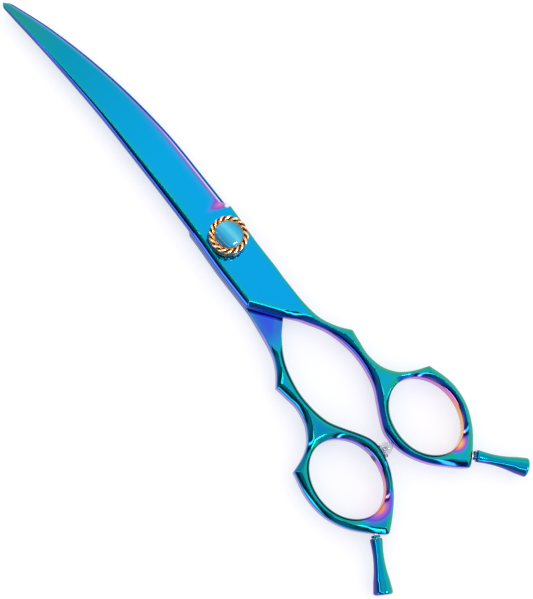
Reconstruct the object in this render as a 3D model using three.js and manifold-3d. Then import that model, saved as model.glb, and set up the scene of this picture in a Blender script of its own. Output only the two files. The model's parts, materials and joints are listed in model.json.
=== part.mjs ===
// Curved grooming shears, closed. Millimetres, +Z up, +Y toward the blade tips, +X toward the front half's ring.
// The flat back of the pivot bolt rests at z = 0 and the pivot axis is the Z axis.
import * as THREE from 'three';
import { mergeVertices } from 'three/addons/utils/BufferGeometryUtils.js';
import Module from 'manifold-3d';

const wasm = await Module();
wasm.setup();

// ---- driving dimensions ----
const GAP = 0.3;                 // clearance between neighbouring pieces
const LAYER = 2.7;               // thickness of one tang
const HEAD_THICK = 0.9;          // flat head of the pivot bolt
const MID_Z = HEAD_THICK + GAP + LAYER + GAP / 2;   // plane between the two halves
const TANG_HALF = 7.05;          // half the width of a tang
const BLADE_ROOT_Y = 7;
const TIP_Y = 96.8;
const TIP_THICK = 1.3;
const EDGE_SET_BACK = 1.3;       // cutting edge inside the other blade's spine when closed
const HANDLE_THICK = 5.4;
const HANDLE_BEVEL = 0.9;
const RING_CENTRE = new THREE.Vector2(14.85, -74.8);
const RING_HOLE = new THREE.Vector2(9.7, 12.3);     // half width and half height of the finger hole
const BOLT_R = 2.5;
const BOLT_FLAT = 2.0;           // half the distance across the flats of the bolt
const THREAD_R = 2.2;
const WASHER_R = 4.4;
const BUSH_IN = 2.8;
const BUSH_OUT = 3.3;
const DIAL_R = 5.75;
const KNURLS = 36;
const BALL_COUNT = 8;
const BALL_R = 0.5;
const BALL_CIRCLE = 4.15;
const ROPE_R = 5.05;
const ROPE_TUBE = 0.72;
const ROPE_LOBES = 22;
const GEM_R = 4.05;
const GEM_HIGH = 1.5;
const BUMPER_Y = -75.0;
const BUMPER_R = 2.1;
const RING_GAP = 4.4;            // clear distance between the two finger rings
const STUD_R = 0.8;
const REST_START = new THREE.Vector2(18.0, -91.3);
const REST_LENGTH = 15.6;
const REST_ANGLE_FRONT = 40;     // degrees away from -Y
const REST_ANGLE_REAR = 32;

// ---- materials ----
const finish = (colour, roughness, metalness) =>
  new THREE.MeshStandardMaterial({ color: colour, roughness, metalness });
const coated = finish(0x1287c9, 0.16, 1.0);
const coatedRear = finish(0x2a62c4, 0.16, 1.0);
const coatedRest = finish(0x4a55c0, 0.18, 1.0);
const steel = finish(0xb9bdc2, 0.3, 1.0);
const darkSteel = finish(0x3a3f45, 0.35, 1.0);
const gold = finish(0xe0a63a, 0.22, 1.0);
const brass = finish(0xc7a052, 0.35, 1.0);
const nylon = finish(0xd9d4c8, 0.6, 0.0);
const gemBlue = finish(0x3aa2dc, 0.08, 0.0);
const clearRubber = finish(0xe8ecee, 0.3, 0.0);

// ---- solid helpers ----
function toSolid(geometry) {
  const bare = geometry.clone();
  bare.deleteAttribute('normal');
  bare.deleteAttribute('uv');
  const merged = mergeVertices(bare, 1e-4);
  const mesh = new wasm.Mesh({
    numProp: 3,
    vertProperties: new Float32Array(merged.attributes.position.array),
    triVerts: new Uint32Array(merged.index.array),
  });
  return new wasm.Manifold(mesh);
}

function toGeometry(solid) {
  const mesh = solid.getMesh();
  const geometry = new THREE.BufferGeometry();
  geometry.setAttribute('position', new THREE.BufferAttribute(new Float32Array(mesh.vertProperties), 3));
  geometry.setIndex(new THREE.BufferAttribute(new Uint32Array(mesh.triVerts), 1));
  geometry.computeVertexNormals();
  return geometry;
}

function named(name, geometry, material) {
  const mesh = new THREE.Mesh(geometry, material);
  mesh.name = name;
  return mesh;
}

function plate(outline, z0, z1, bevel = 0) {
  const shape = outline instanceof THREE.Shape ? outline : new THREE.Shape(outline);
  const geometry = new THREE.ExtrudeGeometry(shape, {
    depth: z1 - z0 - 2 * bevel,
    bevelEnabled: bevel > 0,
    bevelThickness: bevel,
    bevelSize: bevel,
    bevelOffset: -bevel,
    bevelSegments: 1,
    curveSegments: 12,
  });
  geometry.translate(0, 0, z0 + bevel);
  return geometry;
}

function disc(radius, z0, z1, segments = 36) {
  const geometry = new THREE.CylinderGeometry(radius, radius, z1 - z0, segments);
  geometry.rotateX(Math.PI / 2);
  geometry.translate(0, 0, (z0 + z1) / 2);
  return geometry;
}

function turned(profile, segments = 36) {
  const geometry = new THREE.LatheGeometry(profile.map(([r, z]) => new THREE.Vector2(r, z)), segments);
  geometry.rotateX(Math.PI / 2);
  return geometry;
}

const doubleFlat = (radius, flat, z0, z1) =>
  toSolid(disc(radius, z0, z1)).intersect(
    toSolid(new THREE.BoxGeometry(2 * flat, 4 * radius, 4 * (z1 - z0) + 20)));

const vectors = (list) => list.map(([x, y]) => new THREE.Vector2(x, y));
const spline = (list, steps) => new THREE.SplineCurve(vectors(list)).getPoints(steps);

// ---- blades ----
const spineX = (y) => -6.75 - 2.9 * Math.max(0, (y - 45) / 52) ** 2;
const outerX = (y) => 6.9 - 14.3 * Math.max(0, (y - 15) / 82) ** 2.3;

// The blade is a box bent along its two edges: u runs from the spine to the cutting edge, v along the blade.
function blade(isFront) {
  const columns = [0, 0.16, 0.45, 0.7, 0.85, 1];
  const geometry = new THREE.BoxGeometry(1, 1, 1, columns.length - 1, 32, 1);
  const position = geometry.attributes.position;
  for (let i = 0; i < position.count; i += 1) {
    const column = Math.round((position.getX(i) + 0.5) * (columns.length - 1));
    const v = position.getY(i) + 0.5;
    const isOuterFace = position.getZ(i) > 0;
    const y = BLADE_ROOT_Y + (TIP_Y - BLADE_ROOT_Y) * (1 - (1 - v) ** 1.5);
    const along = (y - BLADE_ROOT_Y) / (TIP_Y - BLADE_ROOT_Y);
    const grind = Math.min(1, Math.max(0, (y - 9) / 8));
    const tipRound = Math.sqrt(Math.max(0.04, 1 - Math.max(0, (y - TIP_Y + 1.3) / 1.35) ** 2));
    const setBack = EDGE_SET_BACK * grind * (1 - 0.5 * along);
    const spine = isFront ? spineX(y) : outerX(y);
    const edge = isFront ? outerX(y) - setBack : spineX(y) + setBack;
    const middle = (spine + edge) / 2;
    const x = middle + (spine + (edge - spine) * columns[column] - middle) * tipRound;
    const thick = LAYER + (TIP_THICK - LAYER) * along;
    const outerDrop = [0.45 * thick, 0, 0, 0.04 * thick, 0.2 * thick, 0.72 * thick][column] * grind;
    const hollow = [0, 0.1, 0.22, 0.22, 0.15, 0][column] * grind;
    const height = isOuterFace ? thick - outerDrop : hollow;
    const z = GAP / 2 + height;
    position.setXYZ(i, x, y, isFront ? z : -z);
  }
  // the rear blade is turned over twice, in x and in z, so its faces still point outward
  return toSolid(geometry);
}

// ---- tang, shank and ring ----
function tangOutline() {
  return new THREE.Shape(vectors([
    [-TANG_HALF, -19.2],
    [-0.35, -27.0],
    [1.5, -30.2],
    [7.6, -31.5],
    [7.2, -26.0],
    [TANG_HALF, -18.0],
    [TANG_HALF - 0.2, 7.6],
    [TANG_HALF - 1.6, 9.6],
    [-5.0, 9.6],
    [-TANG_HALF + 0.2, 8.0],
  ]));
}

function handleOutline() {
  const side = vectors([[7.1, -20.6], [7.3, -27]]);
  const shank = spline([[7.3, -27], [8.8, -34.5], [11.2, -39], [14.0, -42.5]], 14);
  const throat = spline([[14.0, -42.5], [13.4, -46.2], [12.9, -50.8], [13.9, -55.6], [16.1, -59.2],
    [18.4, -61.2], [21.4, -62.8], [25.3, -64.2]], 32);
  const outer = spline([[25.3, -64.2], [26.9, -70.1], [27.2, -75], [26.2, -80.2], [23.6, -85.4],
    [20.4, -89.6]], 28);
  const foot = vectors([[20.4, -89.6], [16.3, -93.3], [14.7, -93.3]]);
  const inner = spline([[14.7, -93.3], [11.2, -90.4], [7.4, -86.4], [4.6, -82.2], [2.9, -78.3],
    [2.2, -74.3]], 24);
  const eye = spline([[2.2, -74.3], [2.6, -70.6], [4.6, -66.6], [6.7, -62.9], [8.9, -58.2], [10.0, -52],
    [9.8, -45.8], [7.9, -38.6], [4.3, -32.4]], 36);
  const crotch = vectors([[4.3, -32.4], [0.6, -28.5]]);
  const points = [side, shank, throat, outer, foot, inner, eye].flatMap((part) => part.slice(0, -1));
  points.push(...crotch);
  const shape = new THREE.Shape(points);
  const hole = new THREE.EllipseCurve(RING_CENTRE.x, RING_CENTRE.y, RING_HOLE.x, RING_HOLE.y, 0, 2 * Math.PI);
  shape.holes.push(new THREE.Path(hole.getPoints(56).slice(0, -1)));
  return shape;
}

// A rod laid along the line of a finger rest, starting 'from' mm along it.
function alongRest(geometry, angle, from) {
  const turn = THREE.MathUtils.degToRad(angle);
  geometry.rotateX(Math.PI);
  geometry.rotateZ(turn);
  geometry.translate(REST_START.x + Math.sin(turn) * from, REST_START.y - Math.cos(turn) * from, 0);
  return geometry;
}

function restHole(angle) {
  const rod = new THREE.CylinderGeometry(STUD_R + 0.25, STUD_R + 0.25, 9, 24);
  return toSolid(alongRest(rod, angle, 1.2));
}

// One half without its blade, ring toward +X, tang on the upper side.
function halfBody(angle) {
  const tang = toSolid(plate(tangOutline(), GAP / 2, GAP / 2 + LAYER));
  const handle = toSolid(plate(handleOutline(), -HANDLE_THICK / 2, HANDLE_THICK / 2, HANDLE_BEVEL));
  return handle.add(tang).subtract(restHole(angle));
}

function frontHalf() {
  const washerSeat = toSolid(disc(WASHER_R + GAP, 0, GAP / 2 + 0.35));
  const boltHole = toSolid(disc(BUSH_OUT + GAP, -1, LAYER + 2));
  const raceSeat = toSolid(disc(5.4, GAP / 2 + LAYER - 0.4, LAYER + 2));
  const solid = halfBody(REST_ANGLE_FRONT)
    .add(blade(true))
    .subtract(washerSeat)
    .subtract(boltHole)
    .subtract(raceSeat);
  return toGeometry(solid);
}

function rearHalf() {
  const washerSeat = toSolid(disc(WASHER_R + GAP, -GAP / 2 - 0.35, 0));
  const boltHole = doubleFlat(BOLT_R + GAP, BOLT_FLAT + GAP, -LAYER - 2, 1);
  const stemHole = new THREE.CylinderGeometry(1.25, 1.25, 8, 24);
  stemHole.rotateZ(Math.PI / 2);
  stemHole.translate(-4, BUMPER_Y, 0);
  const solid = halfBody(REST_ANGLE_REAR)
    .mirror([1, 0, 0])
    .mirror([0, 0, 1])
    .add(blade(false))
    .subtract(washerSeat)
    .subtract(boltHole)
    .subtract(toSolid(stemHole));
  return toGeometry(solid);
}

// ---- pivot stack, bottom to top ----
const TANG_TOP = GAP / 2 + LAYER;
const CAGE_Z = TANG_TOP - 0.05;
const PLATE_Z = CAGE_Z + 0.95;
const NUT_Z = PLATE_Z + 0.75;
const DIAL_TOP = NUT_Z + 0.8;

function pivotBolt() {
  const head = turned([[0, -MID_Z], [4.9, -MID_Z], [5.2, -MID_Z + 0.3], [5.2, -MID_Z + HEAD_THICK],
    [0, -MID_Z + HEAD_THICK]]);
  const shaft = doubleFlat(BOLT_R, BOLT_FLAT, -MID_Z + 0.2, NUT_Z - 0.1);
  const thread = toSolid(disc(THREAD_R - 0.25, NUT_Z - 0.6, DIAL_TOP - 0.1));
  return toGeometry(toSolid(head).add(shaft).add(thread));
}

function tube(inner, outer, z0, z1) {
  return turned([[inner, z0], [outer, z0], [outer, z1], [inner, z1], [inner, z0]]);
}

function clickPlate() {
  const ring = toSolid(disc(5.1, PLATE_Z, PLATE_Z + 0.45)).subtract(
    doubleFlat(BOLT_R + 0.2, BOLT_FLAT + 0.2, PLATE_Z - 1, PLATE_Z + 2));
  return toGeometry(ring);
}

function bearingCage() {
  let cage = toSolid(tube(3.2, 5.1, CAGE_Z, CAGE_Z + 0.5));
  for (let i = 0; i < BALL_COUNT; i += 1) {
    const turn = (i / BALL_COUNT) * 2 * Math.PI;
    const pocket = disc(BALL_R + 0.2, CAGE_Z - 1, CAGE_Z + 2, 12);
    pocket.translate(BALL_CIRCLE * Math.cos(turn), BALL_CIRCLE * Math.sin(turn), 0);
    cage = cage.subtract(toSolid(pocket));
  }
  return toGeometry(cage);
}

// Cap nut with a knurled rim: a skirt over the bearing, a disc above it and a threaded hole.
function tensionNut() {
  const rim = [];
  for (let i = 0; i < KNURLS * 3; i += 1) {
    const turn = (i / (KNURLS * 3)) * 2 * Math.PI;
    const radius = DIAL_R - 0.12 + 0.12 * Math.cos(KNURLS * turn);
    rim.push(new THREE.Vector2(radius * Math.cos(turn), radius * Math.sin(turn)));
  }
  const nut = toSolid(plate(new THREE.Shape(rim), TANG_TOP + GAP, DIAL_TOP))
    .subtract(toSolid(disc(5.3, TANG_TOP, NUT_Z)))
    .subtract(toSolid(disc(THREAD_R, TANG_TOP, DIAL_TOP + 1)));
  return toGeometry(nut);
}

// Rope ring: a torus whose section bulges in lobes that run round it like the lay of a rope.
function ropeRing() {
  const geometry = new THREE.TorusGeometry(ROPE_R, ROPE_TUBE, 8, ROPE_LOBES * 5);
  const position = geometry.attributes.position;
  const uv = geometry.attributes.uv;
  for (let i = 0; i < position.count; i += 1) {
    const around = uv.getX(i) * 2 * Math.PI;
    const section = uv.getY(i) * 2 * Math.PI;
    const tube = ROPE_TUBE * (0.9 + 0.1 * Math.cos(ROPE_LOBES * around + 2 * section));
    const radius = ROPE_R + tube * Math.cos(section);
    position.setXYZ(i, radius * Math.cos(around), radius * Math.sin(around), tube * Math.sin(section));
  }
  geometry.translate(0, 0, DIAL_TOP + 0.2 + ROPE_TUBE);
  return toGeometry(toSolid(geometry));
}

function cabochon() {
  const profile = [[0, 0], [GEM_R - 0.15, 0], [GEM_R, 0.2]];
  for (let i = 1; i <= 7; i += 1) {
    const turn = (i / 7) * (Math.PI / 2);
    profile.push([GEM_R * Math.cos(turn), 0.2 + GEM_HIGH * Math.sin(turn)]);
  }
  profile[profile.length - 1][0] = 0;
  const geometry = turned(profile);
  geometry.translate(0, 0, DIAL_TOP + 1.0);
  return toGeometry(toSolid(geometry));
}

function gemCup() {
  return turned([[0, DIAL_TOP + 0.2], [3.9, DIAL_TOP + 0.2], [3.9, DIAL_TOP + 0.75], [0, DIAL_TOP + 0.75]]);
}

// ---- bumper between the rings ----
function alongX(geometry, x0) {
  geometry.rotateZ(-Math.PI / 2);
  geometry.translate(x0, BUMPER_Y, 0);
  return geometry;
}

function bumper() {
  const face = -RING_GAP / 2 + 0.12;
  const reach = RING_GAP - 0.35;
  const profile = [[0, 0], [BUMPER_R, 0], [BUMPER_R, 0.7], [BUMPER_R - 0.3, 1.0], [BUMPER_R - 0.3, reach - 1.2],
    [BUMPER_R - 0.6, reach - 0.5], [BUMPER_R - 1.2, reach - 0.1], [0, reach]];
  const body = new THREE.LatheGeometry(vectors(profile), 32);
  const socket = new THREE.CylinderGeometry(0.75, 0.75, 3.2, 24);
  return toGeometry(toSolid(alongX(body, face)).subtract(toSolid(alongX(socket, face))));
}

function bumperStem() {
  const body = new THREE.LatheGeometry(vectors([[0, 0], [0.95, 0], [0.95, 2.2], [0.55, 2.4], [0.55, 3.7],
    [0, 3.7]]), 24);
  return alongX(body, -RING_GAP / 2 - 2.5);
}

// ---- finger rests ----
function rest(angle) {
  const profile = [[STUD_R + 0.25, 4.5], [STUD_R + 0.25, 0], [1.5, 0], [1.8, 0.3]];
  for (let i = 1; i <= 8; i += 1) {
    const t = i / 8;
    profile.push([1.8 - 0.35 * Math.sin(Math.PI * Math.min(1, 1.25 * t)) + 1.0 * t ** 2.2,
      0.3 + (REST_LENGTH - 1.0) * t]);
  }
  profile.push([2.35, REST_LENGTH - 0.3], [0, REST_LENGTH], [0, 5.0], [STUD_R + 0.25, 4.5]);
  const geometry = new THREE.LatheGeometry(vectors(profile), 24);
  return toGeometry(toSolid(alongRest(geometry, angle, 1.9)));
}

function restStud(angle) {
  const rod = new THREE.LatheGeometry(vectors([[0, 0], [STUD_R, 0], [STUD_R, 7.4], [0, 7.4]]), 24);
  return alongRest(rod, angle, -2.6);
}

function restCollar(angle) {
  const ring = new THREE.LatheGeometry(vectors([[STUD_R + 0.2, 0], [1.35, 0], [1.35, 0.6],
    [STUD_R + 0.2, 0.6], [STUD_R + 0.2, 0]]), 32);
  return toGeometry(toSolid(alongRest(ring, angle, 1.1)));
}

// ---- assembly ----
function balls() {
  const list = [];
  for (let i = 0; i < BALL_COUNT; i += 1) {
    const turn = (i / BALL_COUNT) * 2 * Math.PI;
    const ball = named(`bearing_ball_${i + 1}`, new THREE.SphereGeometry(BALL_R, 10, 6), steel);
    ball.position.set(BALL_CIRCLE * Math.cos(turn), BALL_CIRCLE * Math.sin(turn), CAGE_Z + 0.25);
    list.push(ball);
  }
  return list;
}

function mirrored(geometry) {
  return toGeometry(toSolid(geometry).mirror([1, 0, 0]));
}

const shears = new THREE.Group();
shears.position.z = MID_Z;
shears.add(named('front_half', frontHalf(), coated));
shears.add(named('rear_half', rearHalf(), coatedRear));
shears.add(named('pivot_bolt', pivotBolt(), darkSteel));
shears.add(named('glide_washer', tube(BOLT_R + GAP, WASHER_R, -0.2, 0.2), nylon));
shears.add(named('tang_bushing', tube(BUSH_IN, BUSH_OUT, 0.6, TANG_TOP - 0.3), brass));
shears.add(named('bearing_cage', bearingCage(), brass));
shears.add(...balls());
shears.add(named('click_plate', clickPlate(), steel));
shears.add(named('tension_nut', tensionNut(), darkSteel));
shears.add(named('gem_cup', gemCup(), gold));
shears.add(named('rope_ring', ropeRing(), gold));
shears.add(named('cabochon', cabochon(), gemBlue));
shears.add(named('bumper', bumper(), clearRubber));
shears.add(named('bumper_stem', bumperStem(), nylon));
shears.add(named('rest_stud_front', restStud(REST_ANGLE_FRONT), steel));
shears.add(named('rest_collar_front', restCollar(REST_ANGLE_FRONT), coatedRest));
shears.add(named('finger_rest_front', rest(REST_ANGLE_FRONT), coatedRest));
shears.add(named('rest_stud_rear', mirrored(restStud(REST_ANGLE_REAR)), steel));
shears.add(named('rest_collar_rear', mirrored(restCollar(REST_ANGLE_REAR)), coatedRest));
shears.add(named('finger_rest_rear', mirrored(rest(REST_ANGLE_REAR)), coatedRest));

const part = new THREE.Group();
part.name = 'curved_grooming_shears';
part.add(shears);

export default part;
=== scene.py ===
"""Curved grooming shears: the visual model, its materials, studio and camera.

The mesh code works in millimetres in the CAD's plan frame, with z = 0 midway between the halves.
The rear half is the front half turned over; each is then bent a little.
"""
import json
import math

import bmesh
import bpy
import numpy as np
from mathutils import Matrix, Vector
from mathutils.geometry import delaunay_2d_cdt


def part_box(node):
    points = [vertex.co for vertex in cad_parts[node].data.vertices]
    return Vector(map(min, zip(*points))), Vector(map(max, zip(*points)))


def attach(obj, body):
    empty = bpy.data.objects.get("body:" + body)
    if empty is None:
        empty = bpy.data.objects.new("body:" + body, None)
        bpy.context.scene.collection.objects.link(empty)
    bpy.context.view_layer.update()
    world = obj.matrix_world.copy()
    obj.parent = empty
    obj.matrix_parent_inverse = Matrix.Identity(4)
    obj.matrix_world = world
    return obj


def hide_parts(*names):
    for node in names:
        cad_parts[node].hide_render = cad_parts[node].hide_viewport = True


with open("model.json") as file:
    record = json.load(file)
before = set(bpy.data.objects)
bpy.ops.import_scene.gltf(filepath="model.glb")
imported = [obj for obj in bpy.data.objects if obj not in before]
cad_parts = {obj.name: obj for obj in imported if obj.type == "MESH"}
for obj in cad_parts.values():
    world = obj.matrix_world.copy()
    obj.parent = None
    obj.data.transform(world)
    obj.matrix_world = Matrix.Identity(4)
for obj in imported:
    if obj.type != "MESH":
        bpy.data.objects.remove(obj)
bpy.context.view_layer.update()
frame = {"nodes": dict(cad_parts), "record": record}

# ---- sizes (mm)
GAP = 0.15  # from the middle plane to each blade's inner face
TOP = 2.85  # outer face of a tang above the middle plane
TANG_HALF = 7.05  # half of a tang's width
SEAM_Y = 7.0  # the blade's mesh meets the tang's here
TIP_Y = 96.8
BEVEL = 0.5  # width of the small bevel along a square side
BEVEL_DROP = 0.28
HANDLE_Y = (-21, -36)  # where that bevel starts and ends widening into the handle's facet
WALL = 1.35  # top of the upright wall round a handle, above the middle plane
FACET = 2.1  # width of the sloping facet inside that wall
UNDER_WALL = 1.5  # the same two on the under side
UNDER_FACET = 1.8
SPINE_WALL = 1.5  # and along the tang's spine
SPINE_FACET = 1.7
EDGE_ROUND = 0.32  # radius of an arris
CROWN = 1.45  # how far a facet bulges: 1 would be a plane
RIDGE_SOFT = 0.16  # rounding of the ridge where two facets meet
NEAR_FLAT = 0.15  # that rounding fades out this close under the flat
FACET_REACH = 2.8  # farther in than this, every height is the flat's
RING_CENTRE = (14.85, -74.8)
RING_HOLE = (9.55, 12.15)  # half axes of the finger hole
BUSH_HOLE = 3.6  # radius of the hole for the bushing
RACE_SEAT = (5.4, 2.45)  # radius and height of the bearing's seat in the outer face
WASHER_SEAT = (4.7, 0.5)  # and of the glide washer's in the inner face
SEAT_SIDE = 0.02  # half the width, in plan, of a seat's steep side
RAMP_FROM = (TANG_HALF, -19.2)  # a point on the line where the inner face leaves the middle plane
RAMP_WAY = (7.8, -6.7)  # plan direction straight away from that line
RAMP_LENGTH = 12.0
RAMP_OVER = 0.4  # how far past the under side the ramp aims
RAMP_BOW = 1.25
RAMP_SOFT = 0.3
LEAN = 0.6  # how far tang and shanks sit off the axis, toward -X
OUTLINE_STEP = 0.3  # spacing of the points on the outline
GRID = 0.4  # and of those on the flats
GRID_RISE = 0.866  # height of a triangle of that grid, as a share of its side
ROW_DEPTHS = (0.05, 0.12, 0.21, 0.32, 0.5, 0.75, 1.0, 1.25, 1.46, 1.58, 1.7, 1.82, 1.94, 2.04, 2.12)
GRIND_Y = (7.6, 10.8)  # where the blade's grinding starts and is complete
HEEL_THICK = 2.7  # blade's thickness at the heel
TIP_THINNER = 1.4  # and how much thinner the tip is
BUMPER_Y = -75.0

MID = (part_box("front_half")[0][2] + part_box("rear_half")[1][2]) / 2  # the middle plane's z, in metres


def metres(points):
    """Plan-frame millimetres to row-frame metres."""
    points = np.asarray(points, float) / 1000.0
    points[:, 2] += MID
    return points


# ---- mesh helpers
def linked(name, data):
    obj = bpy.data.objects.new(name, data)
    bpy.context.scene.collection.objects.link(obj)
    return obj


def new_object(name, verts, faces, body, replaces=(), normals=None):
    """A smooth-shaded piece on its body, from vertices in mm and normals per face corner."""
    mesh = bpy.data.meshes.new(name)
    mesh.from_pydata(metres(verts).tolist(), [], faces)
    mesh.validate()
    mesh.update()
    obj = linked(name, mesh)
    mesh.polygons.foreach_set("use_smooth", [True] * len(mesh.polygons))
    if normals is not None:
        mesh.normals_split_custom_set([tuple(n) for n in normals])
    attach(obj, body)
    if replaces:
        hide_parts(*replaces)
    return obj


def point_layer(mesh, name, values):
    mesh.attributes.new(name, "FLOAT", "POINT").data.foreach_set("value", np.asarray(values, np.float32))


def sharp_by_angle(obj, degrees):
    obj.data.set_sharp_from_angle(angle=math.radians(degrees))
    return obj


def catmull(points, step=OUTLINE_STEP):
    """A smooth curve through the points, resampled about every 'step' mm."""
    p = np.asarray(points, float)
    p = np.vstack([2 * p[0] - p[1], p, 2 * p[-1] - p[-2]])
    out = []
    for i in range(1, len(p) - 2):
        count = max(2, int(np.linalg.norm(p[i + 1] - p[i]) / step))
        t = np.arange(count)[:, None] / count
        a, b, c, d = p[i - 1], p[i], p[i + 1], p[i + 2]
        out.append(0.5 * (2 * b + (c - a) * t + (2 * a - 5 * b + 4 * c - d) * t ** 2
                          + (3 * b - a - 3 * c + d) * t ** 3))
    out.append(p[-2][None])
    return np.vstack(out)


def straight(a, b, step):
    count = max(2, int(math.dist(a, b) / step))
    t = np.linspace(0, 1, count + 1)[:, None]
    return np.asarray(a) * (1 - t) + np.asarray(b) * t


def ellipse(centre, half, count):
    turn = np.arange(count) / count * 2 * np.pi
    return np.column_stack([centre[0] + half[0] * np.cos(turn), centre[1] + half[1] * np.sin(turn)])


def smoothstep(a, b, x):
    t = np.clip((x - a) / (b - a), 0, 1)
    return t * t * (3 - 2 * t)


def soft_min(values, soft):
    """Smooth minimum of a list of arrays, exact on the flat top."""
    result = values[0]
    for other in values[1:]:
        h = np.clip(0.5 + 0.5 * (other - result) / soft, 0, 1)
        low = np.minimum(other, result)
        rounding = soft * h * (1 - h) * smoothstep(0.0, NEAR_FLAT, TOP - low)
        result = np.maximum(other * (1 - h) + result * h - rounding, low - soft)
    return result


# ---- outline of tang, shank and ring
def outline_runs():
    """The closed outline of the front half below the blade, as named runs in clockwise order."""
    side_end = (TANG_HALF, -19.0)
    shank_end = (14.0, -42.6)
    throat_end = (25.3, -64.2)
    outer_end = (17.15, -92.55)
    foot_end = (14.6, -93.35)
    inner_end = (1.0, -28.9)
    diag_end = (-TANG_HALF + 0.3, -19.6)
    spine_start = (-TANG_HALF, -18.5)
    return {
        "side": straight((TANG_HALF, SEAM_Y), side_end, 1.0),
        "shank": catmull([side_end, (7.25, -25.0), (7.9, -30.5), (9.0, -35.0), (11.2, -39.2), shank_end]),
        "throat": catmull([shank_end, (13.5, -46.2), (13.0, -50.8), (13.9, -55.6), (16.1, -59.2),
                           (18.4, -61.2), (21.4, -62.8), throat_end]),
        "outer": catmull([throat_end, (26.9, -70.1), (27.2, -75.0), (26.2, -80.2), (23.6, -85.4),
                          (20.4, -89.4), outer_end]),
        "foot": catmull([outer_end, (16.3, -93.3), (15.4, -93.75), foot_end], OUTLINE_STEP / 2),
        "inner": catmull([foot_end, (11.2, -90.4), (7.4, -86.4), (4.6, -82.2), (2.9, -78.3),
                          (2.2, -74.3), (2.6, -70.6), (4.6, -66.6), (6.7, -62.9), (8.9, -58.2),
                          (10.0, -52.0), (9.8, -45.8), (7.9, -38.6), (4.3, -32.4), inner_end]),
        "diag": catmull([inner_end, (-0.6, -27.2), (-4.0, -23.0), diag_end]),
        "heel corner": catmull([diag_end, (-TANG_HALF + 0.05, -19.1), spine_start], OUTLINE_STEP * 0.4),
        "spine": straight(spine_start, (-TANG_HALF, SEAM_Y), 0.5),
    }


RUNS = outline_runs()
HOLE = ellipse(RING_CENTRE, RING_HOLE, 240)
# Runs that join smoothly carry one facet between them, so that no groove forms where they meet.
FACET_LINES = {
    "side": np.vstack([RUNS["side"], RUNS["shank"]]),
    "throat": RUNS["throat"],
    "ring": np.vstack([RUNS["outer"], RUNS["foot"], RUNS["inner"], RUNS["diag"]]),
    "spine": np.vstack([RUNS["heel corner"], RUNS["spine"]]),
    "hole": HOLE,
}


def run_distance(points, line, closed, reach):
    """Distance from each point to a polyline, if under 'reach', and the direction from line to point."""
    a = line if closed else line[:-1]
    b = np.roll(line, -1, axis=0) if closed else line[1:]
    best = np.full(len(points), 1e6)
    away = np.zeros((len(points), 2))

    def beside(which, ends):
        lo, hi = ends.min(0) - reach, ends.max(0) + reach
        return which[((points[which] >= lo) & (points[which] <= hi)).all(1)]

    near = beside(np.arange(len(points)), line)
    batch = 24
    for first in range(0, len(a), batch):
        p0, p1 = a[first:first + batch], b[first:first + batch]
        part = beside(near, np.vstack([p0, p1]))
        if not len(part):
            continue
        d = p1 - p0
        length = np.maximum((d ** 2).sum(1), 1e-12)
        rel = points[part][:, None, :] - p0[None]
        t = np.clip((rel * d[None]).sum(2) / length, 0, 1)
        gap = rel - t[..., None] * d[None]
        square = (gap ** 2).sum(2)
        pick = square.argmin(1)
        rows = np.arange(len(part))
        value = np.sqrt(square[rows, pick])
        closer = value < best[part]
        chosen = part[closer]
        best[chosen] = value[closer]
        away[chosen] = gap[rows, pick][closer] / np.maximum(value[closer], 1e-9)[:, None]
    return best, away


# ---- surfaces of tang, shank and ring
def facet_profile(d, width, wall, height):
    """Height at a distance from the wall: a rounded arris, a gently crowned facet, then flat."""
    inward = np.clip(d / width, 0.0, 1.0)
    top = height - (height - wall) * (1 - inward) ** CROWN
    near = np.clip(1 - d / EDGE_ROUND, 0, 1)
    return top - EDGE_ROUND * (1 - np.sqrt(np.maximum(0.0, 1 - near ** 2)))


def facet_distances(points):
    return {name: run_distance(points, line, name == "hole", FACET_REACH)
            for name, line in FACET_LINES.items()}


def opening(y, at_tang, at_handle):
    """A size that goes from the tang's value to the handle's where the bevel widens into the facet."""
    return at_tang + (at_handle - at_tang) * smoothstep(*HANDLE_Y, y)


def heights(points, distances, shift=(0.0, 0.0)):
    """Upper and lower surface of the front half at plan points moved by a small shift."""
    x, y = points[:, 0] + shift[0], points[:, 1] + shift[1]
    bevel_foot = TOP - BEVEL_DROP
    upper_roofs, lower_roofs = [], []
    for name, (distance, away) in distances.items():
        d = distance + away[:, 0] * shift[0] + away[:, 1] * shift[1]
        if name == "spine":
            upper_roofs.append(facet_profile(d, SPINE_FACET, SPINE_WALL, TOP))
            continue
        for roofs, width, wall in ((upper_roofs, FACET, WALL), (lower_roofs, UNDER_FACET, UNDER_WALL)):
            if name == "side":
                width, wall = opening(y, BEVEL, width), opening(y, bevel_foot, wall)
            roofs.append(facet_profile(d, width, wall, TOP))
    upper = soft_min(upper_roofs, RIDGE_SOFT)
    beyond = ((x - RAMP_FROM[0]) * RAMP_WAY[0] + (y - RAMP_FROM[1]) * RAMP_WAY[1]) / math.hypot(*RAMP_WAY)
    ramp = -GAP + (TOP + RAMP_OVER) * np.clip(beyond / RAMP_LENGTH, 0, 2) ** RAMP_BOW
    depth = np.where(beyond > 0, soft_min([soft_min(lower_roofs, RIDGE_SOFT), ramp], RAMP_SOFT), -GAP)
    radius = np.hypot(x, y)
    upper = np.where(radius < RACE_SEAT[0], RACE_SEAT[1], upper)
    lower = np.where(radius < WASHER_SEAT[0], WASHER_SEAT[1], -depth)
    return upper, lower


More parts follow.
